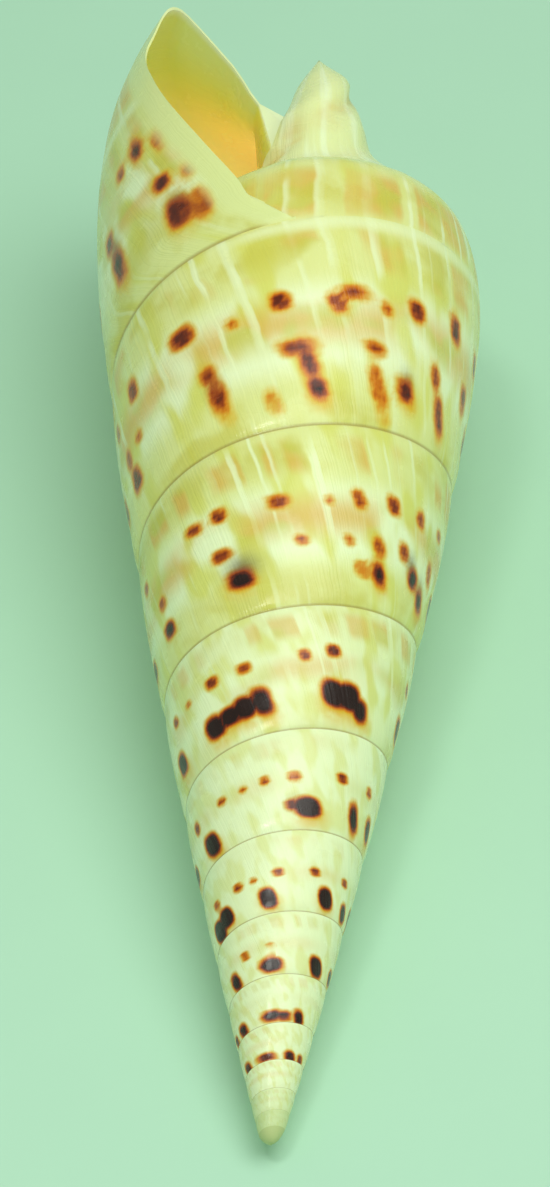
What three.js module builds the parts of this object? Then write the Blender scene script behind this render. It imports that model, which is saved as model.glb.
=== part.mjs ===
// Auger shell: a slender right-handed sea-snail shell, grown in one piece.
//
// The shell is worked out in its own coiling frame: the coiling axis is +Y, the virtual apex is at the
// origin and the base is towards +Y.  An azimuth of 0 points along +Z, 90 degrees along +X.
// Lengths there are in shell units: the suture ends, at the lip, 100 units from the virtual apex.
// The finished mesh is scaled to millimetres and laid on its side, lip up, apex towards -Y.

import * as THREE from 'three';

const TAU = 2 * Math.PI;
const DEGREE = Math.PI / 180;

// Real size and resting pose
const UNIT = 1.16;                    // millimetres in one shell unit
const AXIS_RISE = 10.2 * DEGREE;      // the coiling axis rises towards the base, as the cone lies on its side

// Coiling
const SUTURE_END = 100;               // height of the suture's end, at the lip joint
const GROWTH = 0.0438;                // growth of that height for each radian of turn
const SPREAD = 0.2178;                // radius of the suture over its height, half way up the shell
const SPREAD_LOSS = 0.2264;           // share of the spread lost from the virtual apex to the lip joint
const TIP_HEIGHT = 3.7;               // the worn tip, above the virtual apex
const WHORL_BULGE = 0.026;            // how far a whorl's side stands out, over its radius
const GROWTH_CHECKS = [               // where growth faltered: turn, change of height, width in turns
  [-2.0, -0.024, 0.3],
  [-1.5, 0.009, 0.25],
  [-3.2, -0.010, 0.4],
];

// Profile of the last turn, from the suture to the tip of the columella, as radius and height at five
// stations: one, three quarters, a half and a quarter of a turn before the lip, and at the lip.
const STATIONS = [-1, -0.75, -0.5, -0.25, 0];
const PROFILE_KNOTS = [0.5, 1, 1.25, 1.5, 1.62, 1.75, 1.88, 2];
const PROFILE_RADII = [
  [17.6, 18.5, 19.4, 20.4, 19.8],
  [19.3, 19.2, 20.0, 21.4, 19.9],
  [17.8, 17.3, 18.8, 20.3, 18.7],
  [11.0, 11.0, 12.5, 14.5, 15.2],
  [7.2, 6.3, 7.2, 9.3, 9.2],
  [4.8, 5.2, 5.2, 4.6, 4.4],
  [2.3, 3.1, 3.3, 2.4, 2.3],
  [0, 0, 0, 0, 0],
];
const PROFILE_HEIGHTS = [
  [88, 94, 100, 106, 112],
  [100, 106, 112, 119, 125],
  [109.4, 114.5, 121, 129, 133.4],
  [113.8, 119, 128, 136.5, 140.5],
  [118, 121.5, 129, 134.5, 135.2],
  [127, 127, 128.5, 129.5, 128.2],
  [134.5, 134.5, 134.5, 134.5, 134.5],
  [139.3, 139.3, 139.3, 139.3, 139.3],
];
const LIP_KNOTS = [0, 0.1, 0.25, 0.5, 1, 1.25, 1.5, 1.62, 1.69, 1.75];
const LIP_SETBACK = [0, 12, 18, 29, 50, 58, 38, 26, 21, 0];   // degrees that the lip falls back
const COLUMELLA_TWIST = 50 * DEGREE;              // the end of the columella is twisted back
const COLUMELLA_SHIFT = [2.0, 1.5];               // and stands off the axis along X and Z

// Hollow of the whorl
const HOLLOW_TURNS = 3;               // how far the hollow runs back from the lip
const LIP_THICKNESS = 0.4;
const WALL_THICKNESS = 1.5;
const THICKENING_TURNS = 0.3;         // turns from the lip over which the wall thickens
const HOLLOW_MIDDLE = [11.5, 113];    // radius and height of the middle of the hollow, at the lip
const COLUMELLA_FILLET = 0.22;        // share of the base of a buried whorl that the fillet takes

// Mesh density
const STEPS = 33;                     // rows in one turn; odd, so that it lies on a flat of the coil
const ROWS = 380;                     // rows from the worn tip to the lip
const SIDE = 3;                       // columns from one suture to the next
const BASE_COLUMNS = [1.05, 1.14, 1.25, 1.34, 1.42, 1.5, 1.57, 1.63, 1.69, 1.75, 1.82, 1.9, 1.96];
const NOTCH = SIDE + 10;              // column of the siphonal notch

function smoothstep(from, to, x) {
  const s = Math.min(1, Math.max(0, (x - from) / (to - from)));
  return s * s * (3 - 2 * s);
}

// A smooth curve through values at knots.
function smoothCurve(knots, values, x) {
  const last = knots.length - 1;
  let k = 0;
  while (k < last - 1 && x > knots[k + 1]) k += 1;
  const slope = (i) => {
    const a = Math.max(0, i - 1);
    const b = Math.min(last, i + 1);
    return (values[b] - values[a]) / (knots[b] - knots[a]);
  };
  const span = knots[k + 1] - knots[k];
  const s = (x - knots[k]) / span;
  const h = s * s * (3 - 2 * s);
  return values[k] * (1 - h) + values[k + 1] * h
    + span * (slope(k) * s * (1 - s) * (1 - s) - slope(k + 1) * s * s * (1 - s));
}

function sutureHeight(angle) {
  let height = SUTURE_END * Math.exp(GROWTH * angle);
  for (const [turn, change, width] of GROWTH_CHECKS) {
    height *= 1 + change * Math.exp(-(((angle / TAU - turn) / width) ** 2));
  }
  return height;
}

function sutureRadius(angle) {
  const height = sutureHeight(angle);
  return SPREAD * height * (1 - SPREAD_LOSS * (height / SUTURE_END - 0.5));
}

// Side of a covered whorl: from its own suture to the next one, a turn later, slightly swollen.
function sideProfile(angle, across) {
  const swell = WHORL_BULGE * 4 * across * (1 - across);
  const radius = sutureRadius(angle) * (1 - across) + sutureRadius(angle + TAU) * across;
  const height = sutureHeight(angle) * (1 - across) + sutureHeight(angle + TAU) * across;
  return [radius * (1 + swell), height];
}

// Profile of the last turn.
function bodyProfile(angle, across) {
  const turn = angle / TAU;
  const radii = PROFILE_RADII.map((row) => smoothCurve(STATIONS, row, turn));
  const heights = PROFILE_HEIGHTS.map((row) => smoothCurve(STATIONS, row, turn));
  const knots = [0, ...PROFILE_KNOTS];
  return [
    smoothCurve(knots, [sutureRadius(angle), ...radii], across),
    smoothCurve(knots, [sutureHeight(angle), ...heights], across),
  ];
}

// Radius and height of the shell's surface at a growth angle; across is 0 at the suture, 1 where the
// next suture lies or would lie, and 2 at the end of the columella.
function profile(angle, across) {
  if (angle <= -TAU && across <= 1) return sideProfile(angle, across);
  if (angle <= -TAU) {
    const [radius, height] = bodyProfile(-TAU, across);
    const size = sutureHeight(angle + TAU) / SUTURE_END;
    return [radius * size, height * size];
  }
  const body = bodyProfile(angle, across);
  if (across >= 1) return body;
  const side = sideProfile(angle, across);
  const blend = smoothstep(-TAU, -0.8 * TAU, angle);
  return [side[0] + (body[0] - side[0]) * blend, side[1] + (body[1] - side[1]) * blend];
}

// How far the growth line falls back at this share across the whorl, in the last turn.
function setback(angle, across) {
  const twist = COLUMELLA_TWIST * smoothstep(1.25, 1.75, across);
  if (angle <= -TAU || across >= 1.75) return twist;
  return twist + DEGREE * smoothCurve(LIP_KNOTS, LIP_SETBACK, across) * smoothstep(-TAU, 0, angle);
}

function place(radius, height, azimuth, shift) {
  return new THREE.Vector3(
    radius * Math.sin(azimuth) + shift * COLUMELLA_SHIFT[0],
    height,
    radius * Math.cos(azimuth) + shift * COLUMELLA_SHIFT[1],
  );
}

function outerPoint(angle, across) {
  const [radius, height] = profile(angle, across);
  const size = angle <= -TAU ? sutureHeight(angle + TAU) / SUTURE_END : 1;
  return place(radius, height, angle - setback(angle, across), size * smoothstep(1.3, 1.8, across));
}

// Inner face of the whorl's wall: the outer point moved towards the middle of the hollow.  Further in,
// it leaves the wall before the columella, so that the wall joins the columella with a fillet.
function innerPoint(angle, across) {
  const reach = 1 - COLUMELLA_FILLET * smoothstep(0.7 * TAU, TAU, -angle);
  const outer = outerPoint(angle, across <= 1 ? across : 1 + (across - 1) * reach);
  const size = sutureHeight(angle) / SUTURE_END;
  const [middleRadius, middleHeight] = HOLLOW_MIDDLE;
  const middle = place(middleRadius * size, middleHeight * size, angle - setback(angle, 0.8), 0);
  const thickening = smoothstep(0, THICKENING_TURNS * TAU, -angle);
  const wall = size * (LIP_THICKNESS + (WALL_THICKNESS - LIP_THICKNESS) * thickening);
  return outer.add(middle.sub(outer).setLength(wall));
}

// The closed surface, as rows along the coil and columns across the whorl.
class ShellSurface {
  constructor() {
    this.positions = [];
    this.triangles = [];
    this.acrossOf = [];
    for (let column = 0; column <= SIDE; column += 1) this.acrossOf.push(column / SIDE);
    this.acrossOf.push(...BASE_COLUMNS);
    this.outerIndex = new Map();
    this.innerIndex = new Map();
    this.columellaEnd = this.addPoint(place(0, bodyProfile(-TAU, 2)[1], 0, 1));
  }

  addPoint(point) {
    this.positions.push(point.x, point.y, point.z);
    return this.positions.length / 3 - 1;
  }

  angleOf(row) {
    return TAU * (row - ROWS) / STEPS;
  }

  // Vertex on the outer surface.  The end of one whorl's side is the suture of the next whorl, and the
  // columella closes on itself after one turn.
  outer(row, column) {
    if (column === this.acrossOf.length) return this.columellaEnd;
    if (column === SIDE && row + STEPS <= ROWS) return this.outer(row + STEPS, 0);
    if (column >= NOTCH && row === ROWS) return this.outer(row - STEPS, column);
    const key = row * 100 + column;
    if (!this.outerIndex.has(key)) {
      const point = outerPoint(this.angleOf(row), this.acrossOf[column]);
      this.outerIndex.set(key, this.addPoint(point));
    }
    return this.outerIndex.get(key);
  }

  // Vertex on the inner face of the wall.  Its two edges lie on the whorl before: beside the suture,
  // and beside the notch.
  inner(row, column) {
    if (column === 0) return this.outer(row - STEPS, SIDE + 1);
    if (column === NOTCH) return this.outer(row - STEPS, NOTCH - 1);
    const key = row * 100 + column;
    if (!this.innerIndex.has(key)) {
      const point = innerPoint(this.angleOf(row), this.acrossOf[column]);
      this.innerIndex.set(key, this.addPoint(point));
    }
    return this.innerIndex.get(key);
  }

  addTriangle(a, b, c) {
    if (a !== b && b !== c && c !== a) this.triangles.push(a, b, c);
  }

  addQuad(a, b, c, d) {
    this.addTriangle(a, b, c);
    this.addTriangle(a, c, d);
  }

  // A grid of quads between two rows and two columns; vertex gives the index at a row and column.
  addGrid(vertex, rowFrom, rowTo, columnFrom, columnTo, faceIn) {
    for (let row = rowFrom; row < rowTo; row += 1) {
      for (let column = columnFrom; column < columnTo; column += 1) {
        const corners = [
          vertex(row, column), vertex(row + 1, column), vertex(row + 1, column + 1), vertex(row, column + 1),
        ];
        if (faceIn) corners.reverse();
        this.addQuad(...corners);
      }
    }
  }

  // Closes a ring of vertices with a fan to a point.
  addFan(ring, point) {
    const centre = this.addPoint(point);
    ring.forEach((vertex, i) => this.addTriangle(vertex, ring[(i + 1) % ring.length], centre));
  }

  middleOf(ring) {
    const middle = new THREE.Vector3();
    for (const vertex of ring) middle.add(new THREE.Vector3().fromArray(this.positions, 3 * vertex));
    return middle.divideScalar(ring.length);
  }

  build() {
    const outer = (row, column) => this.outer(row, column);
    const inner = (row, column) => this.inner(row, column);
    const bodyRow = ROWS - STEPS;
    const hollowRow = ROWS - Math.round(HOLLOW_TURNS * STEPS);
    this.addGrid(outer, 0, ROWS, 0, SIDE, false);
    this.addGrid(outer, bodyRow, ROWS, SIDE, this.acrossOf.length, false);
    this.addGrid(outer, hollowRow - STEPS, bodyRow, SIDE + 1, NOTCH - 1, false);
    this.addGrid(inner, hollowRow, ROWS, 0, NOTCH, true);
    const lip = (row, column) => (row === 0 ? outer(ROWS, column) : inner(ROWS, column));
    this.addGrid(lip, 0, 1, 0, NOTCH, false);
    this.addFan(this.tipRing(), new THREE.Vector3(0, TIP_HEIGHT, 0));
    const end = this.hollowEndRing(hollowRow);
    this.addFan(end, this.middleOf(end));
  }

  tipRing() {
    const ring = [];
    for (let column = 0; column < SIDE; column += 1) ring.push(this.outer(0, column));
    for (let row = STEPS; row > 0; row -= 1) ring.push(this.outer(row, 0));
    return ring;
  }

  hollowEndRing(row) {
    const ring = [];
    for (let column = 0; column <= NOTCH; column += 1) ring.push(this.inner(row, column));
    for (let column = NOTCH - 2; column > SIDE + 1; column -= 1) ring.push(this.outer(row - STEPS, column));
    return ring.reverse();
  }
}

function makeShell() {
  const surface = new ShellSurface();
  surface.build();
  const geometry = new THREE.BufferGeometry();
  geometry.setAttribute('position', new THREE.Float32BufferAttribute(surface.positions, 3));
  geometry.setIndex(surface.triangles);
  geometry.scale(UNIT, UNIT, UNIT);
  geometry.rotateX(AXIS_RISE);
  geometry.computeVertexNormals();
  const material = new THREE.MeshStandardMaterial({ color: 0xe9e6bf, roughness: 0.25, metalness: 0 });
  const mesh = new THREE.Mesh(geometry, material);
  mesh.name = 'shell';
  return mesh;
}

// The origin is on the surface that the shell lies on, under the middle of its outline.
function standAtOrigin(mesh) {
  mesh.geometry.computeBoundingBox();
  const { min, max } = mesh.geometry.boundingBox;
  mesh.position.set(-(min.x + max.x) / 2, -(min.y + max.y) / 2, -min.z);
}

const shell = makeShell();
standAtOrigin(shell);
const group = new THREE.Group();
group.add(shell);
export default group;
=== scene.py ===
"""An auger shell lying on a pale table: a slender sea-snail shell with two rows of brown spots.

The shell's surface is worked out by the same formulas as the CAD part, on a finer mesh, in the shell's
own coiling frame: the coiling axis is +Y, the virtual apex is at the origin and azimuth 0 is +Z.
"""

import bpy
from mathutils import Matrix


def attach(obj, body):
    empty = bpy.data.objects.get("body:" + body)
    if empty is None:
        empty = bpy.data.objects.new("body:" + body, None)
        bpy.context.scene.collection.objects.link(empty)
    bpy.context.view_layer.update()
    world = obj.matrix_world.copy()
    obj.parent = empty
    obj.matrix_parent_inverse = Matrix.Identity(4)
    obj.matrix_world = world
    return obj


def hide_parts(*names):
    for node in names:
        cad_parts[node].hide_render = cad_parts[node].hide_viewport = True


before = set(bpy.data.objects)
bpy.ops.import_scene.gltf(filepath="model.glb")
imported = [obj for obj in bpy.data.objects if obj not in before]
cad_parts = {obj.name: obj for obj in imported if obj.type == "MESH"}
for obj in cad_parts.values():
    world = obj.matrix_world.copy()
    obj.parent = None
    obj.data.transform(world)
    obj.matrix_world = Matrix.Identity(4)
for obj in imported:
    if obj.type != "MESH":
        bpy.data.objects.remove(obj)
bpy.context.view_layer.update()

import math

import bpy
import numpy as np
from mathutils import Matrix, Vector

TAU = 2 * math.pi
SEED = 11

# Real size and resting pose
UNIT = 1.16e-3                        # metres in one shell unit
AXIS_RISE = math.radians(10.2)        # the coiling axis rises towards the base

# Coiling, in shell units. Growth and spread come from a least-squares fit to the sutures in the
# photograph, and the three checks are rounded from it and adjusted.
SUTURE_END = 100.0
GROWTH = 0.0438
SPREAD = 0.2178
SPREAD_LOSS = 0.2264
TIP_HEIGHT = 3.7
WHORL_BULGE = 0.026
GROWTH_CHECKS = [(-2.0, -0.024, 0.3), (-1.5, 0.009, 0.25), (-3.2, -0.010, 0.4)]
BODY_HEIGHT = 1.317                   # height of the last turn's side over its suture's height

# Profile of the last turn at five stations before the lip, from the suture to the columella's tip
STATIONS = [-1, -0.75, -0.5, -0.25, 0]
COLUMELLA_END = 139.3                 # height of the columella's tip
PROFILE_KNOTS = [0.5, 1, 1.25, 1.5, 1.62, 1.75, 1.88, 2]
PROFILE_RADII = [
    [17.6, 18.5, 19.4, 20.4, 19.8],
    [19.3, 19.2, 20.0, 21.4, 19.9],
    [17.8, 17.3, 18.8, 20.3, 18.7],
    [11.0, 11.0, 12.5, 14.5, 15.2],
    [7.2, 6.3, 7.2, 9.3, 9.2],
    [4.8, 5.2, 5.2, 4.6, 4.4],
    [2.3, 3.1, 3.3, 2.4, 2.3],
    [0, 0, 0, 0, 0],
]
PROFILE_HEIGHTS = [
    [88, 94, 100, 106, 112],
    [100, 106, 112, 119, 125],
    [109.4, 114.5, 121, 129, 133.4],
    [113.8, 119, 128, 136.5, 140.5],
    [118, 121.5, 129, 134.5, 135.2],
    [127, 127, 128.5, 129.5, 128.2],
    [134.5, 134.5, 134.5, 134.5, 134.5],
    [COLUMELLA_END] * 5,
]
LIP_KNOTS = [0, 0.1, 0.25, 0.5, 1, 1.25, 1.5, 1.62, 1.69, 1.75]
LIP_SETBACK = [0, 12, 18, 29, 50, 58, 38, 26, 21, 0]      # degrees that the lip falls back
COLUMELLA_TWIST = math.radians(50)
COLUMELLA_SHIFT = (2.0, 1.5)          # how far its tip stands off the coiling axis

# Hollow of the whorl
HOLLOW_TURNS = 1.6
LIP_THICKNESS = 0.4
WALL_THICKNESS = 1.5
THICKENING_TURNS = 0.3
HOLLOW_MIDDLE = (11.5, 113.0)
COLUMELLA_FILLET = 0.22

# Fine relief, in shell units at the lip, smaller on the older whorls
SUTURE_GROOVE = 0.16                  # depth of the pressed-in suture
SUTURE_WIDTH = 0.018                  # its half width, as a share of the whorl's height
SHOULDER = 0.14                       # the whorl stands out just below its suture
GROWTH_RELIEF = 0.07                  # uneven growth along the coil
GROWTH_SLANT = math.radians(22)       # growth lines fall back across an older whorl
BROAD_CHECKS = 23                     # slow changes of growth in one turn
FINE_CHECKS = 61                      # quick ones
RANDOM_KNOTS = 1024                   # knots before a line of random numbers repeats
CREASE_ACROSS = 1.655                 # where the columella's crease starts, a turn before the lip
CREASE_CLIMB = 0.56                   # how fast it climbs, for one turn
CREASE_DEPTH = 0.60
CREASE_WIDTH = 0.024                  # as a share across
CORD_HEIGHT = 0.42                    # of the low fold beside the crease

# Mesh density
STEPS = 180                           # rows in one turn
TURNS = 11.515                        # from the worn tip to the lip
ROWS = round(TURNS * STEPS)
EDGE_ACROSS = [0, 0.007, 0.015, 0.026, 0.042]
SIDE_ACROSS = [*EDGE_ACROSS, *np.linspace(0.07, 0.93, 31), *[1 - a for a in reversed(EDGE_ACROSS)]]
SIDE = len(SIDE_ACROSS) - 1           # divisible by 4, for the coarser columns of the older whorls
COARSE_TURNS = (3.3, 6.0)             # turns before the lip where every second column ends
ACROSS = np.concatenate([
    SIDE_ACROSS,
    [1.012, 1.03],
    np.linspace(1.055, 1.69, 28),
    np.linspace(1.75, 1.98, 12),
])
NOTCH = SIDE + 31                     # column of the siphonal notch
COLUMNS = len(ACROSS)
DOME_RINGS = [0.85, 0.6, 0.3]         # rings of the worn tip, as shares of its rim
DOME_POWER = 2.2                      # how blunt the worn tip is
SHARP_ANGLE = math.radians(48)        # edges sharper than this are not smoothed


# ---------------------------------------------------------------- shape

def smoothstep(low, high, x):
    s = np.clip((x - low) / (high - low), 0, 1)
    return s * s * (3 - 2 * s)


def smooth_curve(knots, values, x):
    """A smooth curve through values at knots. Each value may be an array that goes with x."""
    last = len(knots) - 1

    def slope(i):
        a, b = max(0, i - 1), min(last, i + 1)
        return (values[b] - values[a]) / (knots[b] - knots[a])

    result = 0.0
    for k in range(last):
        span = knots[k + 1] - knots[k]
        s = (x - knots[k]) / span
        h = s * s * (3 - 2 * s)
        piece = values[k] * (1 - h) + values[k + 1] * h
        piece = piece + span * (slope(k) * s * (1 - s) ** 2 - slope(k + 1) * s * s * (1 - s))
        result = np.where(x > knots[k], piece, result) if k else piece
    return result


def suture_height(angle):
    height = SUTURE_END * np.exp(GROWTH * angle)
    for turn, change, width in GROWTH_CHECKS:
        height = height * (1 + change * np.exp(-(((angle / TAU - turn) / width) ** 2)))
    return height


def suture_radius(angle):
    height = suture_height(angle)
    return SPREAD * height * (1 - SPREAD_LOSS * (height / SUTURE_END - 0.5))


def side_profile(angle, across):
    swell = WHORL_BULGE * 4 * across * (1 - across)
    radius = suture_radius(angle) * (1 - across) + suture_radius(angle + TAU) * across
    height = suture_height(angle) * (1 - across) + suture_height(angle + TAU) * across
    return radius * (1 + swell), height


def body_profile(angle, across):
    turn = angle / TAU
    knots = [0, *PROFILE_KNOTS]
    radii = [suture_radius(angle)] + [smooth_curve(STATIONS, row, turn) for row in PROFILE_RADII]
    heights = [suture_height(angle)] + [smooth_curve(STATIONS, row, turn) for row in PROFILE_HEIGHTS]
    return smooth_curve(knots, radii, across), smooth_curve(knots, heights, across)


def whorl_size(angle):
    """Size of the whorl here, over that of the last turn."""
    return np.where(angle <= -TAU, suture_height(angle + TAU) / SUTURE_END, 1.0)


def profile(angle, across):
    """Radius and height of the shell's surface."""
    size = whorl_size(angle)
    body = body_profile(np.maximum(angle, -TAU), across)
    side = side_profile(angle, across)
    all_body = (across > 1) | ((across >= 1) & (angle > -TAU))
    blend = np.where(all_body, 1.0, smoothstep(-TAU, -0.8 * TAU, angle))
    return [s + (b * size - s) * blend for s, b in zip(side, body)]


def setback(angle, across):
    """How far the growth line falls back at this share across the whorl."""
    twist = COLUMELLA_TWIST * smoothstep(1.25, 1.75, across)
    lip = np.radians(smooth_curve(LIP_KNOTS, LIP_SETBACK, np.minimum(across, 1.75)))
    plain = (angle <= -TAU) | (across >= 1.75)
    return np.where(plain, twist, twist + lip * smoothstep(-TAU, 0, angle))


def place(radius, height, azimuth, shift):
    x = radius * np.sin(azimuth) + shift * COLUMELLA_SHIFT[0]
    z = radius * np.cos(azimuth) + shift * COLUMELLA_SHIFT[1]
    return np.stack(np.broadcast_arrays(x, height, z), axis=-1)


def uneven(position, seed):
    """Smooth random numbers between -1 and 1 along a line, one knot at each whole position."""
    values = np.random.default_rng(seed).uniform(-1, 1, RANDOM_KNOTS)
    base = np.floor(position).astype(int)
    part = position - base
    part = part * part * (3 - 2 * part)
    return values[base % RANDOM_KNOTS] * (1 - part) + values[(base + 1) % RANDOM_KNOTS] * part


def growth_line(angle, across):
    """Growth coordinate, in turns: what is laid down at one time has one value."""
    older = 1 - smoothstep(-1.15 * TAU, -0.35 * TAU, angle)
    return (angle + GROWTH_SLANT * older * np.minimum(across, 1.0)) / TAU


def crease_path(turn):
    """Where the columella's crease runs, as a share across, and how far it shows."""
    shown = smoothstep(-1.12, -1.0, turn) * (1 - smoothstep(-0.55, -0.40, turn))
    return CREASE_ACROSS + CREASE_CLIMB * (turn + 1), shown


def columella_crease(angle, across):
    path, shown = crease_path(angle / TAU)
    return shown * np.exp(-(((across - path) / CREASE_WIDTH) ** 2))


def columella_cord(angle, across):
    """A low fold that climbs the columella, with a crease beside it."""
    path, shown = crease_path(angle / TAU)
    fold = np.exp(-(((across - path - 2.5 * CREASE_WIDTH) / (2 * CREASE_WIDTH)) ** 2))
    return CORD_HEIGHT * shown * fold - CREASE_DEPTH * columella_crease(angle, across)


def relief(angle, across):
    """Fine relief of the outer surface, added to its radius."""
    start = np.exp(-((across / SUTURE_WIDTH) ** 2))
    covered = 1 - smoothstep(-TAU, -0.97 * TAU, angle)
    end = np.exp(-(((1 - across) / SUTURE_WIDTH) ** 2)) * covered
    shoulder = SHOULDER * np.exp(-(((across - 0.1) / 0.07) ** 2))
    line = growth_line(angle, across)
    broad = uneven(line * BROAD_CHECKS + 300, SEED)
    small = uneven(line * FINE_CHECKS + 900, SEED + 1)
    checks = 0.6 * broad + 0.4 * small
    fade = np.sin(math.pi * np.clip(across, 0, 1)) ** 0.5
    base = smoothstep(1.0, 1.1, across) * (1 - smoothstep(1.3, 1.5, across))
    growth = GROWTH_RELIEF * checks * np.where(across > 1, base, fade)
    cord = columella_cord(angle, across)
    return whorl_size(angle) * (shoulder + growth + cord - SUTURE_GROOVE * (start + end))


def outer_point(angle, across, fine=True):
    radius, height = profile(angle, across)
    if fine:
        radius = radius + relief(angle, across) * (1 - smoothstep(1.93, 1.99, across))
    shift = whorl_size(angle) * smoothstep(1.3, 1.8, across)
    return place(radius, height, angle - setback(angle, across), shift)


def inner_point(angle, across):
    """The outer point moved towards the middle of the hollow by the wall's thickness."""
    across = np.where(across < 0.3, across + 0.15 * (1 - across / 0.3) ** 2, across)
    reach = 1 - COLUMELLA_FILLET * smoothstep(0.7 * TAU, TAU, -angle)
    outer = outer_point(angle, np.where(across <= 1, across, 1 + (across - 1) * reach), fine=False)
    size = suture_height(angle) / SUTURE_END
    middle_radius, middle_height = HOLLOW_MIDDLE
    middle = place(middle_radius * size, middle_height * size, angle - setback(angle, np.array(0.8)), 0)
    thickening = smoothstep(0, THICKENING_TURNS * TAU, -angle)
    wall = size * (LIP_THICKNESS + (WALL_THICKNESS - LIP_THICKNESS) * thickening)
    inwards = middle - outer
    inwards = inwards / np.linalg.norm(inwards, axis=-1, keepdims=True)
    return outer + inwards * np.broadcast_to(wall, outer.shape[:-1])[..., None]


# ---------------------------------------------------------------- markings

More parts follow.
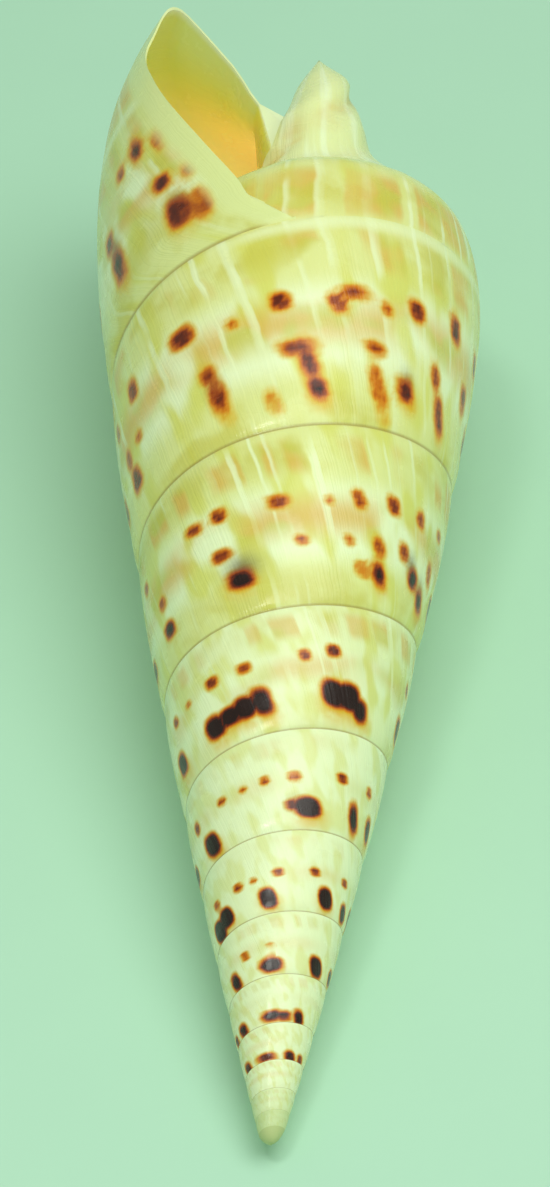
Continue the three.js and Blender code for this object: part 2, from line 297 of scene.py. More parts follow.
# Dark spots, by whorl from the lip back: azimuth in degrees, share across the whorl from its suture,
# width and height in millimetres, and strength from 0 to 1. Most places were read off the photograph
# and turned into azimuth and share by a scratch script. Many were then moved or resized by eye.
SPOTS = {
    0: [(-56, 0.67, 1.6, 3.2, 1.0), (-64, 0.65, 1.0, 1.4, 0.7), (-46, 0.61, 1.2, 2.4, 0.4),
        (-44, 0.40, 2.2, 2.2, 1.0), (-34, 0.38, 1.4, 2.0, 0.45), (-37, 0.22, 3.0, 4.4, 0.68),
        (-30, 0.20, 2.4, 4.0, 0.5), (-72, 0.43, 1.4, 2.6, 0.9), (-66, 0.27, 2.2, 5.0, 0.95),
        (-96, 0.40, 2.6, 4.6, 1.0), (-118, 0.22, 2.4, 3.8, 0.9), (-100, 0.66, 1.6, 2.0, 0.8),
        (-134, 0.62, 1.6, 2.2, 0.8), (-150, 0.24, 2.6, 3.2, 1.0), (-160, 0.60, 1.4, 1.8, 0.6)],
    1: [(-38, 0.62, 2.8, 2.4, 1.0), (-20, 0.55, 0.8, 0.8, 0.5), (-4, 0.59, 1.9, 1.9, 0.9),
        (14, 0.56, 1.7, 2.0, 0.9), (19, 0.61, 2.2, 1.3, 0.8), (31, 0.55, 0.9, 1.1, 0.4),
        (42, 0.59, 1.8, 2.0, 0.85), (62, 0.61, 1.8, 3.0, 1.0), (-64, 0.63, 1.7, 2.4, 0.9),
        (28, 0.36, 1.4, 1.0, 0.5), (-29, 0.35, 1.6, 2.0, 0.62), (-26, 0.25, 1.5, 4.4, 0.65),
        (-6, 0.12, 1.0, 1.9, 0.35), (2, 0.36, 2.9, 1.5, 0.80), (6, 0.28, 1.5, 3.8, 0.80),
        (9, 0.16, 1.8, 2.6, 0.95), (31, 0.17, 1.3, 4.4, 0.5), (42, 0.20, 1.9, 2.6, 0.95),
        (55, 0.32, 1.0, 2.4, 0.55), (60, 0.17, 1.4, 3.4, 0.7), (76, 0.35, 1.4, 2.8, 0.7),
        (-64, 0.38, 1.2, 1.2, 0.6), (-82, 0.62, 1.2, 1.8, 0.7), (-74, 0.37, 1.2, 2.0, 0.7),
        (-70, 0.22, 1.9, 2.8, 0.75), (-90, 0.27, 1.6, 3.0, 0.8), (84, 0.58, 1.6, 2.4, 0.9),
        (92, 0.22, 2.0, 3.0, 0.9)],
    2: [(-4, 0.58, 1.9, 1.4, 0.9), (-28, 0.61, 1.5, 1.5, 1.0), (-40, 0.61, 1.4, 1.1, 0.75),
        (28, 0.58, 1.1, 1.5, 0.8), (44, 0.59, 1.4, 1.7, 0.9), (60, 0.58, 1.2, 1.6, 0.9),
        (16, 0.56, 0.7, 0.7, 0.4), (6, 0.35, 0.9, 0.8, 0.4), (26, 0.35, 0.9, 0.9, 0.5),
        (78, 0.60, 1.4, 1.2, 0.6), (-28, 0.38, 1.6, 1.1, 0.65), (-20, 0.21, 2.9, 2.2, 1.0),
        (40, 0.34, 1.1, 1.8, 0.75), (42, 0.20, 1.5, 2.5, 0.9), (34, 0.20, 1.6, 1.6, 0.4),
        (54, 0.36, 1.0, 1.4, 0.75), (63, 0.25, 1.7, 2.2, 1.0), (72, 0.17, 1.7, 2.6, 1.0),
        (76, 0.36, 1.0, 2.0, 0.7), (-78, 0.64, 1.2, 1.3, 0.75), (-64, 0.39, 1.1, 1.4, 0.75),
        (-62, 0.21, 1.8, 2.0, 0.8), (92, 0.24, 2.2, 2.6, 1.0), (-90, 0.22, 2.4, 2.4, 0.9)],
    3: [(-20, 0.57, 1.1, 0.9, 0.8), (-38, 0.58, 1.3, 1.2, 1.0), (10, 0.58, 1.0, 1.0, 0.8),
        (24, 0.61, 1.2, 1.2, 0.85), (-56, 0.57, 0.8, 0.7, 0.35), (-70, 0.58, 1.0, 1.2, 0.6),
        (-39, 0.22, 2.4, 2.8, 0.95), (-29, 0.24, 2.5, 2.2, 1.0), (-20, 0.25, 2.4, 2.6, 1.0),
        (-11, 0.26, 2.1, 3.2, 1.0), (27, 0.27, 2.8, 3.3, 1.0), (36, 0.26, 2.8, 3.2, 1.0),
        (44, 0.18, 2.0, 2.6, 1.0), (-72, 0.23, 2.0, 2.8, 1.0), (86, 0.25, 1.8, 2.8, 0.9),
        (84, 0.58, 1.0, 1.2, 0.8)],
    4: [(-10, 0.52, 0.8, 0.7, 0.7), (8, 0.51, 1.2, 0.9, 1.0), (40, 0.53, 1.1, 0.9, 0.85),
        (-40, 0.50, 0.9, 0.8, 0.8), (66, 0.51, 1.0, 1.0, 0.7), (-24, 0.50, 0.7, 0.6, 0.6),
        (19, 0.21, 3.0, 2.4, 1.0), (8, 0.24, 1.2, 1.0, 0.7), (56, 0.20, 1.4, 3.2, 1.0),
        (78, 0.20, 1.5, 2.6, 0.95), (-68, 0.50, 0.9, 1.3, 0.85), (-54, 0.17, 2.2, 3.0, 1.0),
        (-90, 0.20, 2.0, 2.4, 0.9)],
    5: [(0, 0.48, 0.9, 0.7, 0.7), (30, 0.48, 0.9, 0.7, 0.7), (-34, 0.45, 1.0, 0.8, 0.85),
        (-60, 0.45, 1.0, 1.0, 0.8), (-20, 0.45, 0.7, 0.6, 0.6), (62, 0.47, 0.9, 0.8, 0.7),
        (-8, 0.19, 1.8, 2.3, 1.0), (44, 0.19, 1.9, 2.4, 1.0), (72, 0.14, 1.3, 1.9, 0.9),
        (-51, 0.20, 2.0, 2.4, 1.0), (-64, 0.14, 2.0, 2.6, 1.0), (94, 0.18, 1.5, 2.2, 0.9)],
    6: [(-6, 0.46, 0.7, 0.5, 0.6), (-34, 0.44, 0.8, 0.7, 0.7), (-5, 0.16, 2.4, 1.5, 1.0),
        (50, 0.16, 1.7, 2.2, 1.0), (-52, 0.15, 1.3, 2.0, 1.0), (84, 0.16, 1.4, 1.6, 0.9)],
    7: [(-3, 0.15, 1.9, 1.1, 0.85), (14, 0.12, 1.4, 0.9, 0.70), (38, 0.10, 1.1, 1.5, 0.75),
        (-54, 0.13, 1.1, 1.3, 0.72), (-80, 0.12, 0.9, 1.0, 0.7)],
    8: [(-14, 0.10, 1.4, 0.7, 0.68), (-60, 0.09, 0.9, 1.2, 0.68), (34, 0.08, 1.1, 1.0, 0.70),
        (60, 0.08, 0.8, 0.9, 0.66)],
}
SHRINK = 0.86                         # size of an older whorl's spots over the next one's
SPOT_SHRINK = 0.9                     # how closely a spot's soft edge follows its whorl's size
SMALLEST_WHORL = 0.25                 # below this share of full size, edges stop shrinking
HIDDEN_SPACING = 27                   # degrees between the spots on the side that the shell lies on
HIDDEN_SIDE = (104.0, 256)            # that side, in degrees of azimuth
SPOT_LEAN = 0.3                       # spots lean along the growth lines
BOLD_ROW = 0.3                        # the bold row of spots lies below this share across
SQUARENESS = 2.6                      # of a spot's outline; 2 is an ellipse
FAINT = 0.6                           # spots no stronger than this get little or no dark middle
CLEAR_INSET = 0.08                    # millimetres taken off a spot's reach
FAINT_INSET = 0.2                     # the same for a spot no stronger than FAINT
BOLD_DEPTH = 1.6                      # limit on a bold spot's field, for each 1 of strength over FAINT
FINE_DEPTH = 0.9                      # the same for the fine row
NO_SPOT = -3.0                        # spot field far from any spot

# Purplish smears over some of the blotches: whorl, azimuth, share across, width, height, strength
SMEARS = [
    (0, -68, 0.36, 2.0, 4.0, 0.8), (0, -38, 0.26, 2.2, 3.0, 0.9), (1, -27, 0.29, 1.8, 3.0, 0.5),
    (1, 42, 0.26, 1.6, 2.2, 0.6), (2, -19, 0.27, 3.2, 2.6, 1.0), (2, 60, 0.32, 1.6, 2.4, 0.9),
    (2, 70, 0.24, 1.8, 2.4, 0.6), (3, -20, 0.30, 3.0, 2.0, 0.3), (4, 10, 0.25, 1.8, 1.4, 0.5),
]


def hidden_spots():
    """The two rows of spots go on round the shell's underside, unevenly spaced."""
    rng = np.random.default_rng(SEED)
    for whorl in range(1, 9):
        shrink = SHRINK ** (whorl - 1)
        for share, width, height in ((0.58, 1.7, 1.7), (0.21, 2.4, 2.8)):
            azimuth, end = HIDDEN_SIDE
            while azimuth < end:
                strength = rng.uniform(0.6, 1.0)
                grown = rng.uniform(0.7, 1.15) * shrink
                yield whorl, azimuth, share - 0.02 * whorl, width * grown, height * grown, strength
                azimuth += HIDDEN_SPACING * rng.uniform(0.6, 1.4)


def all_spots():
    for whorl, marks in SPOTS.items():
        for mark in marks:
            yield (whorl, *mark)
    yield from hidden_spots()


class Surface:
    """Places on the outer surface, as the markings see them."""

    def __init__(self, angle, across):
        radius, height = profile(angle, across)
        self.turned = angle - setback(angle, across)
        low = suture_height(self.turned)
        high = np.where(self.turned <= -TAU, suture_height(self.turned + TAU), BODY_HEIGHT * low)
        self.share = (height - low) / (high - low)
        to_mm = UNIT * 1000
        self.size = low / SUTURE_END
        self.radius = radius * to_mm
        self.whorl_height = (high - low) * to_mm

    def offsets(self, whorl, azimuth, share):
        """Millimetres along the coil and across it, from a place to each point."""
        along = (self.turned - (math.radians(azimuth) - TAU * whorl)) * self.radius
        over = (self.share - share) * self.whorl_height
        return along + SPOT_LEAN * over, over

    def spot_field(self):
        """How far inside a spot each point is, limited by the spot's strength; negative outside."""
        field = np.full(self.share.shape, NO_SPOT)
        for whorl, azimuth, share, width, height, strength in all_spots():
            along, over = self.offsets(whorl, azimuth, share)
            wide = np.abs(2 * along / width) ** SQUARENESS
            tall = np.abs(2 * over / height) ** SQUARENESS
            inset = CLEAR_INSET if strength > FAINT else FAINT_INSET
            inside = (1 - (wide + tall) ** (1 / SQUARENESS)) * min(width, height) / 2
            inside = inside - inset * SHRINK ** whorl
            darkest = BOLD_DEPTH if share < BOLD_ROW else FINE_DEPTH * SHRINK ** (3 * whorl)
            field = np.maximum(field, np.minimum(inside, darkest * (strength - FAINT)))
        return field / np.maximum(self.size, SMALLEST_WHORL) ** SPOT_SHRINK

    def glow_field(self):
        """Yellow-orange stain that runs from the spots towards the suture."""
        field = np.zeros(self.share.shape)
        for whorl, azimuth, share, width, height, strength in all_spots():
            bold = share < BOLD_ROW
            drop = 0.35 * height if bold else 0.0
            along, over = self.offsets(whorl, azimuth, share)
            reach = (along / (0.75 * width + 0.4)) ** 2 + ((over + drop) / (0.8 * height + 0.3)) ** 2
            stain = (0.4 + 0.6 * bold) * np.exp(-reach) * strength * 0.9 ** whorl
            field = np.maximum(field, stain)
        return field

    def smear_field(self):
        field = np.zeros(self.share.shape)
        for whorl, azimuth, share, width, height, strength in SMEARS:
            along, over = self.offsets(whorl, azimuth, share)
            reach = (1.6 * along / width) ** 2 + (1.6 * over / height) ** 2
            field = np.maximum(field, strength * np.exp(-reach))
        return field


# ---------------------------------------------------------------- mesh

class ShellMesh:
    """The closed surface, as rows along the coil and columns across the whorl."""

    NAMES = ("growth", "across", "spot", "glow", "smear", "inside", "depth", "crease")

    def __init__(self):
        self.rows = np.arange(ROWS + 1)
        angle = (TAU * (self.rows - ROWS) / STEPS)[:, None]
        across = ACROSS[None, :]
        outer = outer_point(angle, across)
        inner = inner_point(angle, ACROSS[None, :NOTCH + 1])
        self.points = [outer.reshape(-1, 3), inner.reshape(-1, 3)]
        self.outer = np.arange((ROWS + 1) * COLUMNS).reshape(ROWS + 1, COLUMNS)
        self.inner = self.outer.size + np.arange((ROWS + 1) * (NOTCH + 1)).reshape(ROWS + 1, NOTCH + 1)
        self.count = self.outer.size + self.inner.size
        self.join()
        self.outer_values = self.outside_values(angle, across)
        self.inner_values = self.inside_values(angle, ACROSS[None, :NOTCH + 1])
        self.faces = []
        self.values = []
        self.loose = []               # faces that aren't quads, each with its corners' values

    def join(self):
        """Where sheets meet, they share vertices."""
        body = ROWS - STEPS
        self.outer[:body + 1, SIDE] = self.outer[STEPS:, 0]
        self.outer[ROWS, NOTCH:] = self.outer[body, NOTCH:]
        self.inner[STEPS:, 0] = self.outer[:body + 1, SIDE + 1]
        self.inner[STEPS:, NOTCH] = self.outer[:body + 1, NOTCH - 1]

    def outside_values(self, angle, across):
        surface = Surface(angle, across)
        shape = surface.share.shape
        parts = [
            growth_line(angle, across), across, surface.spot_field(), surface.glow_field(),
            surface.smear_field(), 0.0, -angle / TAU, columella_crease(angle, across),
        ]
        return np.stack([np.broadcast_to(part, shape) for part in parts], axis=-1)

    def inside_values(self, angle, across):
        shape = np.broadcast(angle, across).shape
        parts = [angle / TAU, across, NO_SPOT, 0.0, 0.0, 1.0, -angle / TAU, 0.0]
        return np.stack([np.broadcast_to(part, shape) for part in parts], axis=-1)

    def add_point(self, point):
        self.points.append(np.asarray(point, float).reshape(1, 3))
        self.count += 1
        return self.count - 1

    def add_graded_row(self, row, stride):
        """Five-sided faces where the next row has twice the columns of this one."""
        half = stride // 2
        for column in range(0, SIDE, stride):
            corners = [(row, column), (row + 1, column), (row + 1, column + half),
                       (row + 1, column + stride), (row, column + stride)]
            self.loose.append(([self.outer[corner] for corner in corners],
                               np.array([self.outer_values[corner] for corner in corners])))

    def add_grid(self, index, values, rows, columns, face_in=False, stride=1):
        """Quads between rows[0] and rows[1], and columns[0] and columns[1]."""
        index = index[rows[0]:rows[1] + 1, columns[0]:columns[1] + 1:stride]
        values = values[rows[0]:rows[1] + 1, columns[0]:columns[1] + 1:stride]
        corners = [(0, 0), (1, 0), (1, 1), (0, 1)]
        if face_in:
            corners.reverse()
        height, width = index.shape[0] - 1, index.shape[1] - 1
        quads = np.stack([index[r:r + height, c:c + width] for r, c in corners], -1)
        shown = np.stack([values[r:r + height, c:c + width] for r, c in corners], 2)
        self.faces.append(quads.reshape(-1, 4))
        self.values.append(shown.reshape(-1, 4, len(self.NAMES)))

    def add_fan(self, ring, values, rings, centre):
        """Closes a ring of vertices over a dome, with inner rings at these shares of the way out."""
        ring = np.asarray(ring)
        rim = np.concatenate(self.points)[ring]
        for share in rings:
            dome = centre + (rim - centre) * share
            dome[:, 1] = centre[1] + (rim[:, 1] - centre[1]) * share ** DOME_POWER
            start = self.count
            self.points.append(dome)
            self.count += len(ring)
            inner = np.arange(start, start + len(ring))
            quads = np.stack([ring, np.roll(ring, -1), np.roll(inner, -1), inner], -1)
            self.faces.append(quads)
            self.values.append(np.broadcast_to(values, (len(ring), 4, len(values))))
            ring = inner
        tip = self.add_point(centre)
        for first, second in zip(ring, np.roll(ring, -1)):
            self.loose.append(([first, second, tip], np.broadcast_to(values, (3, len(values)))))

    def build(self):
        body = ROWS - STEPS
        hollow = ROWS - round(HOLLOW_TURNS * STEPS)
        fine, coarse = [ROWS - round(turns * STEPS) for turns in COARSE_TURNS]
        self.add_grid(self.outer, self.outer_values, (fine, ROWS), (0, SIDE))
        self.add_grid(self.outer, self.outer_values, (coarse, fine - 1), (0, SIDE), stride=2)
        self.add_grid(self.outer, self.outer_values, (0, coarse - 1), (0, SIDE), stride=4)
        self.add_graded_row(fine - 1, 2)
        self.add_graded_row(coarse - 1, 4)
        self.add_grid(self.outer, self.outer_values, (body, ROWS), (SIDE, COLUMNS - 1))
        parietal = self.outer_values.copy()
        reached = smoothstep(body - 0.11 * STEPS, body - 0.06 * STEPS, self.rows)
        parietal[..., self.NAMES.index("inside")] = 1 - reached[:, None]
        parietal[..., self.NAMES.index("depth")] -= 1
        self.add_grid(self.outer, parietal, (hollow - STEPS, body), (SIDE + 1, NOTCH - 1))
        self.add_grid(self.inner, self.inner_values, (hollow, ROWS), (0, NOTCH), face_in=True)
        lip = np.stack([self.outer[ROWS, :NOTCH + 1], self.inner[ROWS]])
        lip_values = np.stack([self.outer_values[ROWS, :NOTCH + 1]] * 2)
        self.add_grid(lip, lip_values, (0, 1), (0, NOTCH))
        columella = self.outer[body:ROWS, COLUMNS - 1]
        columella_tip = place(0.0, COLUMELLA_END, 0.0, 1.0)
        self.add_fan(columella, self.outer_values[ROWS, -1], [], columella_tip)
        tip = [*self.outer[0, 0:SIDE:4], *self.outer[STEPS:0:-1, 0]]
        worn_end = np.array([0.0, TIP_HEIGHT, 0.0])
        self.add_fan(tip, self.outer_values[0, 0], DOME_RINGS, worn_end)
        end = [*self.inner[hollow], *self.outer[hollow - STEPS, NOTCH - 2:SIDE + 1:-1]]
        middle = np.concatenate(self.points)[end].mean(axis=0)
        self.add_fan(end[::-1], self.inner_values[hollow, 0], [], middle)

    def to_mesh(self, name):
        points = turned(np.concatenate(self.points))
        faces = []
        corner_values = []
        quads = zip(np.concatenate(self.faces).tolist(), np.concatenate(self.values))
        for face, value in [*quads, *self.loose]:
            keep = [i for i, vertex in enumerate(face) if vertex != face[i - 1]]
            if len(keep) > 2:
                faces.append([face[i] for i in keep])
                corner_values.append(value[keep])
        used, renumbered = np.unique([v for face in faces for v in face], return_inverse=True)
        position = iter(renumbered.tolist())
        faces = [[next(position) for _ in face] for face in faces]
        mesh = bpy.data.meshes.new(name)
        mesh.from_pydata(points[used].tolist(), [], faces)
        corner_values = np.concatenate(corner_values)
        for i, attribute in enumerate(self.NAMES):
            layer = mesh.attributes.new(attribute, "FLOAT", "CORNER")
            layer.data.foreach_set("value", corner_values[:, i].astype(np.float32))
        mesh.shade_smooth()
        mesh.set_sharp_from_angle(angle=SHARP_ANGLE)
        return mesh


RISE = np.array(Matrix.Rotation(AXIS_RISE, 3, "X"))


def turned(points):
    """From the coiling frame, in shell units, to the resting pose, in metres."""
    return points @ RISE.T * UNIT


def make_shell():
    surface = ShellMesh()
    surface.build()
    mesh = surface.to_mesh("auger_shell")
    points = np.empty(len(mesh.vertices) * 3, np.float32)
    mesh.vertices.foreach_get("co", points)
    points = points.reshape(-1, 3)
    low, high = points.min(axis=0), points.max(axis=0)
    origin = np.array([(low[0] + high[0]) / 2, (low[1] + high[1]) / 2, low[2]])
    mesh.vertices.foreach_set("co", (points - origin).ravel())
    mesh.update()
    shell = bpy.data.objects.new("auger_shell", mesh)
    bpy.context.collection.objects.link(shell)
    return shell, origin


# ---------------------------------------------------------------- materials

def rgb(red, green, blue):
    """Scene linear colour from sRGB numbers of 0 to 255."""
    channels = [c / 255 for c in (red, green, blue)]
    return (*[c / 12.92 if c <= 0.04045 else ((c + 0.055) / 1.055) ** 2.4 for c in channels], 1.0)


class Paint:
    """Short forms for building a node tree."""

    def __init__(self, name):
        self.material = bpy.data.materials.new(name)
        self.material.use_nodes = True
        self.tree = self.material.node_tree
        self.shader = self.tree.nodes["Principled BSDF"]
        self.place = self.node("ShaderNodeTexCoord").outputs["Object"]

    def node(self, kind, **settings):
        made = self.tree.nodes.new(kind)
        for key, value in settings.items():
            setattr(made, key, value)
        return made

    def feed(self, socket, value):
        if isinstance(value, bpy.types.NodeSocket):
            self.tree.links.new(value, socket)
        else:
            socket.default_value = value

    def math(self, operation, *values):
        node = self.node("ShaderNodeMath", operation=operation)
        for socket, value in zip(node.inputs, values):
            self.feed(socket, value)
        return node.outputs[0]

    def times(self, first, *others):
        """The product of values from 0 to 1, or of a value and a strength."""
        for other in others:
            first = self.math("MULTIPLY", first, other)
        return first

    def most(self, first, *others):
        """The greatest of several values."""
        for other in others:
            first = self.math("MAXIMUM", first, other)
        return first

    def spread(self, value, strength):
        """Noise of 0 to 1, moved to lie evenly about 0 and scaled."""
        return self.times(self.math("SUBTRACT", value, 0.5), strength)

    def step(self, value, low, high, to_low=0.0, to_high=1.0):
        """A soft step, from to_low at low to to_high at high."""
        node = self.node("ShaderNodeMapRange", interpolation_type="SMOOTHSTEP")
        for name, item in (("Value", value), ("From Min", low), ("From Max", high),
                           ("To Min", to_low), ("To Max", to_high)):
            self.feed(node.inputs[name], item)
        return node.outputs["Result"]

    def attribute(self, name):
        return self.node("ShaderNodeAttribute", attribute_name=name).outputs["Fac"]

    def noise(self, scale, detail=2.0, at=None):
        node = self.node("ShaderNodeTexNoise")
        self.feed(node.inputs["Vector"], at or self.place)
        self.feed(node.inputs["Scale"], scale)
        self.feed(node.inputs["Detail"], detail)
        return node.outputs["Fac"]

    def coil_place(self, growth, across, along_scale, across_scale):
        """A place on the unrolled whorls, for patterns that follow the growth lines."""
        node = self.node("ShaderNodeCombineXYZ")
        self.feed(node.inputs["X"], self.math("MULTIPLY", growth, along_scale))
        self.feed(node.inputs["Y"], self.math("MULTIPLY", across, across_scale))
        return node.outputs["Vector"]

    def line_noise(self, at, scale, detail=1.0):
        """Noise along one line."""
        node = self.node("ShaderNodeTexNoise", noise_dimensions="1D")
        self.feed(node.inputs["W"], at)
        self.feed(node.inputs["Scale"], scale)
        self.feed(node.inputs["Detail"], detail)
        return node.outputs["Fac"]

    def mix(self, factor, below, above):
        node = self.node("ShaderNodeMix", data_type="RGBA")
        self.feed(node.inputs["Factor"], factor)
        # The colour sockets share their names with others, so they go by number
        self.feed(node.inputs[6], below)
        self.feed(node.inputs[7], above)
        return node.outputs[2]

    def band(self, value, middle, width, flat=0.0):
        """1 within flat of the middle of a band, falling to 0 at width away."""
        away = self.math("ABSOLUTE", self.math("SUBTRACT", value, middle))
        return self.step(away, width, flat)


IVORY = rgb(220, 222, 114)
MILK = rgb(240, 251, 200)
STRAW = rgb(202, 195, 68)
OCHRE = rgb(222, 182, 82)
AMBER = rgb(224, 184, 36)
ORANGE = rgb(214, 122, 2)
RUST = rgb(156, 62, 3)
BROWN = rgb(92, 28, 3)
BLACK_BROWN = rgb(36, 14, 8)
PLUM = rgb(88, 70, 66)
SUTURE_BROWN = rgb(148, 128, 52)
CORE_WHITE = rgb(228, 236, 158)
LIP_OLIVE = rgb(218, 218, 98)
THROAT = rgb(255, 218, 124)
THROAT_DEEP = rgb(255, 202, 118)
CHALK = rgb(194, 214, 146)
PAINTED_THROAT_GLOW = rgb(255, 232, 158)      # painted glow: light the throat gives off itself, in place of light coming through the thin wall
TABLE_DARK = rgb(177, 220, 191)
TABLE_LIGHT = rgb(183, 225, 197)


class ShellPaint(Paint):
    """The shell's colours, laid over each other, and its gloss and fine relief."""

    def __init__(self):
        super().__init__("porcelain_shell")
        self.growth, self.across = self.attribute("growth"), self.attribute("across")
        self.inside, self.depth = self.attribute("inside"), self.attribute("depth")
        wander = self.spread(self.noise(260.0, 2.0), 0.006)
        self.line = self.math("ADD", self.growth, wander)
        clouds = self.noise(1.0, 1.5, self.coil_place(self.growth, self.across, 27.0, 2.4))
        self.clouds = self.step(clouds, 0.36, 0.53)
        self.spire = self.step(self.growth, -1.6, -4.5)
        self.worn = self.step(self.growth, -8.8, -11.2)

    def on_spire(self, low_down, high_up):
        """A strength that changes from the last whorls to the spire."""
        return self.step(self.spire, 0.0, 1.0, low_down, high_up)

    def ground(self):
        """Ivory with milky clouds and straw-coloured washes beside the sutures."""
        middle = self.most(self.band(self.across, 0.45, 0.34), self.spire)
        cloudy = self.times(self.clouds, self.step(middle, 0.0, 0.7, 0.35, 1.0))
        colour = self.mix(cloudy, IVORY, MILK)
        near_suture = self.most(
            self.band(self.across, 0.04, 0.24),
            self.band(self.across, 0.86, 0.20),
            self.band(self.across, 1.12, 0.14),
            self.step(self.growth, -0.55, -0.15, 0.0, 0.8),
        )
        wash = self.times(self.step(self.noise(140.0, 3.0), 0.43, 0.63), near_suture)
        colour = self.mix(self.times(wash, self.on_spire(0.62, 0.3)), colour, STRAW)
        return self.mix(self.times(self.spire, 0.55), colour, MILK)

    def ochre_blocks(self, colour):
        """Blocks of ochre in bands that wind round the shell."""
        blocks = self.line_noise(self.line, 30.0, 0.0)
        patchy = self.step(self.noise(110.0, 1.0), 0.38, 0.56)
        upper = self.times(self.step(blocks, 0.44, 0.56), self.band(self.across, 0.83, 0.14, 0.04))
        lower = self.times(self.step(blocks, 0.34, 0.46), self.band(self.across, 1.10, 0.12, 0.05))
        lower = self.times(lower, self.step(self.noise(160.0, 2.0), 0.35, 0.60, 0.45, 0.95))
        faint = self.times(patchy, self.band(self.across, 0.48, 0.18), 0.95)
        ochre = self.most(self.times(upper, patchy), lower, faint)
        stain = self.mix(self.step(self.noise(200.0, 1.0), 0.35, 0.54), STRAW, OCHRE)
        return self.mix(self.times(ochre, self.on_spire(0.85, 0.25)), colour, stain)

    def milky_streaks(self, colour):
        """A milky shoulder round the last turn, and growth streaks that cut the blocks."""
        last_turn = self.step(self.growth, -1.03, -0.97)
        shoulder = self.times(self.band(self.across, 0.965, 0.055), last_turn)
        colour = self.mix(self.times(shoulder, 0.6), colour, MILK)
        streaks = self.step(self.line_noise(self.line, 75.0, 1.0), 0.56, 0.72)
        broken = self.step(self.noise(170.0, 1.0), 0.36, 0.60, 0.1, 1.0)
        streaks = self.times(streaks, broken, self.step(self.across, 0.1, 0.75, 0.35, 0.85))
        return self.mix(self.times(streaks, self.on_spire(0.9, 0.15)), colour, MILK)

    def spots(self, colour):
        """Spots with ragged edges, their orange stain and the purplish smears over them."""
        speck = self.spread(self.noise(900.0, 3.0), 0.5)
        ragged = self.spread(self.noise(400.0, 1.0), 0.9)
        spot = self.math("ADD", self.attribute("spot"), self.math("ADD", speck, ragged))
        patchy = self.step(self.noise(420.0, 2.0), 0.30, 0.60, 0.55, 1.0)
        glow = self.times(self.attribute("glow"), patchy)
        colour = self.mix(self.step(glow, 0.10, 0.75, 0.0, 0.9), colour, AMBER)
        colour = self.mix(self.step(glow, 0.45, 1.00, 0.0, 0.7), colour, ORANGE)
        colour = self.mix(self.step(spot, -1.50, -0.50, 0.0, 0.8), colour, AMBER)
        colour = self.mix(self.step(spot, -0.90, -0.20), colour, ORANGE)
        colour = self.mix(self.times(self.attribute("smear"), 0.75), colour, PLUM)
        colour = self.mix(self.step(spot, -0.38, 0.10), colour, RUST)
        colour = self.mix(self.step(spot, -0.04, 0.32), colour, BROWN)
        return self.mix(self.step(spot, 0.32, 0.66), colour, BLACK_BROWN)

    def suture_line(self, colour):
        before_joint = self.step(self.growth, -0.985, -1.0)
        end = self.times(self.band(self.across, 1.0, 0.010), before_joint)
        at_suture = self.most(self.band(self.across, 0.0, 0.014), end)
        return self.mix(self.times(at_suture, 0.65), colour, SUTURE_BROWN)

    def bare_parts(self, colour):
        """The newest growth at the lip has no colour yet, and the columella is plain but for an ochre
        line along its crease, partly a brown stain and partly painted shade.
        """
        fresh = self.step(self.growth, -0.036, -0.016)
        colour = self.mix(fresh, colour, CORE_WHITE)
        plain = self.mix(self.times(self.clouds, 0.4), MILK, IVORY)
        colour = self.mix(self.step(self.across, 1.30, 1.42), colour, plain)
        # ochre along the columella's crease: partly a brown stain, partly painted shade in the groove
        patchy = self.step(self.noise(300.0, 2.0), 0.3, 0.7, 0.2, 0.7)
        return self.mix(self.times(self.attribute("crease"), patchy), colour, OCHRE)

    def throat(self, colour):
        """The inside of the last whorl, with a painted glow: light of its own that stands in for light
        let in through the thin wall.
        """
        inner = self.mix(self.step(self.depth, 0.0, 0.012), CORE_WHITE, LIP_OLIVE)
        inner = self.mix(self.step(self.depth, 0.06, 0.17), inner, THROAT)
        inner = self.mix(self.step(self.depth, 0.15, 0.50), inner, THROAT_DEEP)
        # painted glow deeper in the throat: emission in place of light through the wall
        glow = self.times(self.inside, self.step(self.depth, 0.07, 0.26, 0.0, 0.17))
        self.shader.inputs["Emission Color"].default_value = PAINTED_THROAT_GLOW
        self.feed(self.shader.inputs["Emission Strength"], glow)
        return self.mix(self.inside, colour, inner)

    def chalky_tip(self, colour):
        return self.mix(self.times(self.worn, 0.7), colour, CHALK)

    def gloss(self):
        """Porcelain gloss under a thin coat, duller on the worn tip."""
        gloss = self.step(self.noise(320.0, 3.0), 0.35, 0.7, 0.16, 0.30)
        roughness = self.math("ADD", gloss, self.times(self.worn, 0.3))
        soft = self.step(self.inside, 0.0, 1.0, 0.06, 0.85)
        for name, value in (
            ("Roughness", roughness),
            ("Specular IOR Level", 0.28),
            ("Coat Weight", 0.18),
            ("Coat Roughness", 0.12),
            ("IOR", 1.52),
            ("Subsurface Weight", soft),
            ("Subsurface Radius", (1.0, 0.85, 0.4)),
            ("Subsurface Scale", 0.007),
        ):
            self.feed(self.shader.inputs[name], value)

    def fine_relief(self):
        """Fine growth lines and faint pitting."""
        broad = self.times(self.line_noise(self.line, 120.0, 1.0), 0.8)
        lines = self.math("ADD", self.line_noise(self.line, 420.0, 3.0), broad)
        pitting = self.times(self.noise(1400.0, 2.0), 0.35)
        bump = self.node("ShaderNodeBump")
        bump.inputs["Strength"].default_value = 0.35
        bump.inputs["Distance"].default_value = 0.00012
        self.feed(bump.inputs["Height"], self.math("ADD", lines, pitting))
        self.feed(self.shader.inputs["Normal"], bump.outputs["Normal"])


def shell_material():
    paint = ShellPaint()
    colour = paint.ground()
    for layer in (paint.ochre_blocks, paint.milky_streaks, paint.spots, paint.suture_line,
                  paint.bare_parts, paint.throat, paint.chalky_tip):
        colour = layer(colour)
    paint.feed(paint.shader.inputs["Base Color"], colour)
    paint.gloss()
    paint.fine_relief()
    return paint.material


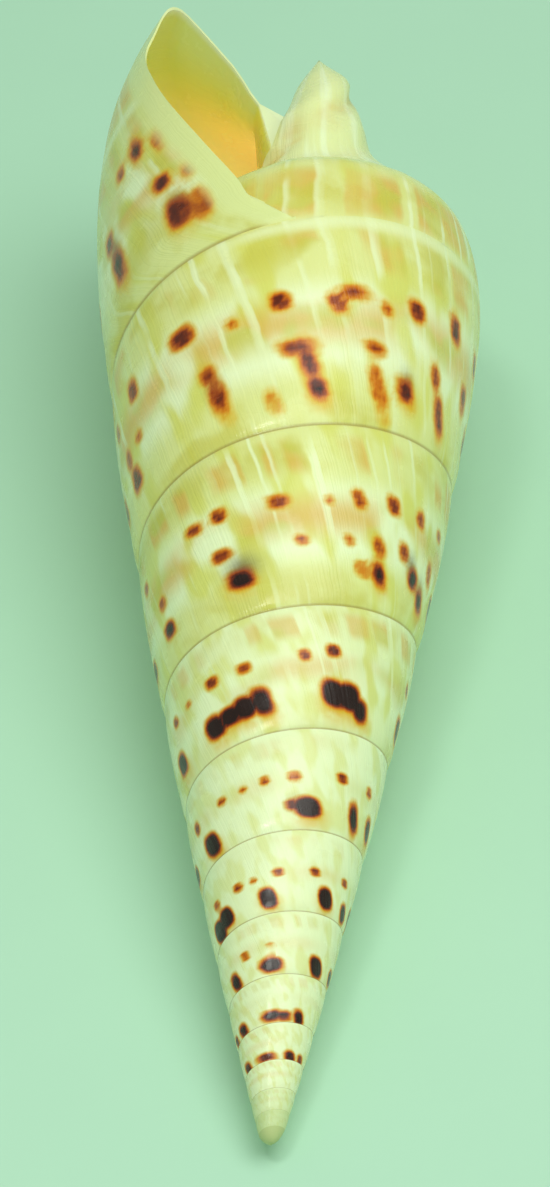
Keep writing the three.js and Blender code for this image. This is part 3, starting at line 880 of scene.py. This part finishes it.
def table_material():
    p = Paint("pale_table")
    colour = p.mix(p.step(p.noise(3.0, 2.0), 0.35, 0.65), TABLE_DARK, TABLE_LIGHT)
    p.feed(p.shader.inputs["Base Color"], colour)
    p.feed(p.shader.inputs["Roughness"], p.step(p.noise(60.0, 3.0), 0.3, 0.7, 0.5, 0.62))
    return p.material


# ---------------------------------------------------------------- scene

TABLE_HALF = 2.0                      # metres, half the side of the table top
WORLD_COLOUR = (0.86, 1.0, 0.90, 1.0)
WORLD_STRENGTH = 0.42
LIGHT_COLOUR = (0.97, 1.0, 0.94)
LIGHT_TARGET = (0, 0, 0.02)


def make_table():
    mesh = bpy.data.meshes.new("table_top")
    half = TABLE_HALF
    corners = [(-half, -half, 0), (half, -half, 0), (half, half, 0), (-half, half, 0)]
    mesh.from_pydata(corners, [], [(0, 1, 2, 3)])
    table = bpy.data.objects.new("table_top", mesh)
    bpy.context.collection.objects.link(table)
    mesh.materials.append(table_material())
    return table


def make_light(name, place, size, power):
    light = bpy.data.lights.new(name, "AREA")
    light.shape = "DISK"
    light.size = size
    light.energy = power
    light.color = LIGHT_COLOUR
    lamp = bpy.data.objects.new(name, light)
    lamp.location = place
    lamp.rotation_euler = (Vector(LIGHT_TARGET) - Vector(place)).to_track_quat("-Z", "Y").to_euler()
    bpy.context.collection.objects.link(lamp)


def make_world():
    world = bpy.data.worlds.new("studio")
    world.use_nodes = True
    background = world.node_tree.nodes["Background"]
    background.inputs["Color"].default_value = WORLD_COLOUR
    background.inputs["Strength"].default_value = WORLD_STRENGTH
    bpy.context.scene.world = world


# Camera, in the coiling frame: it looks down at the axis from the tip's end, as fitted with the coil
CAMERA_TILT = 0.9044                  # its view's fall, from the axis
CAMERA_YAW = -0.0056
CAMERA_ROLL = 0.022
CAMERA_AIM = (-1.0671, 67.4363)       # where it looks, in the plane of the axis
CAMERA_DISTANCE = 500                 # shell units
LENS = 153.32                         # millimetres, for a sensor of SENSOR millimetres
SENSOR = 36.0


def make_camera(origin):
    e, yaw, roll = CAMERA_TILT, CAMERA_YAW, CAMERA_ROLL
    forward = np.array([math.sin(yaw) * math.cos(e), math.cos(yaw) * math.cos(e), -math.sin(e)])
    level = np.array([math.cos(yaw), -math.sin(yaw), 0.0])
    upright = np.cross(level, forward)
    right = level * math.cos(roll) + upright * math.sin(roll)
    up = upright * math.cos(roll) - level * math.sin(roll)
    centre = np.array([CAMERA_AIM[0], CAMERA_AIM[1], 0.0]) - forward * CAMERA_DISTANCE
    axes = np.stack([right, up, -forward]) @ RISE.T
    camera = bpy.data.cameras.new("camera")
    camera.sensor_width = SENSOR
    camera.lens = LENS
    camera.clip_start, camera.clip_end = 0.01, 20
    viewer = bpy.data.objects.new("camera", camera)
    matrix = Matrix(axes.T.tolist()).to_4x4()
    matrix.translation = Vector(turned(centre) - origin)
    viewer.matrix_world = matrix
    bpy.context.collection.objects.link(viewer)
    bpy.context.scene.camera = viewer


shell, origin = make_shell()
shell.data.materials.append(shell_material())
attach(shell, "root")
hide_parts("shell")

make_table()
make_world()
make_light("softbox", (0.22, -0.10, 0.76), size=0.70, power=3.6)
make_light("glint", (-0.16, -0.15, 0.72), size=0.15, power=0.9)
make_camera(origin)
bpy.context.scene.view_settings.view_transform = "Standard"
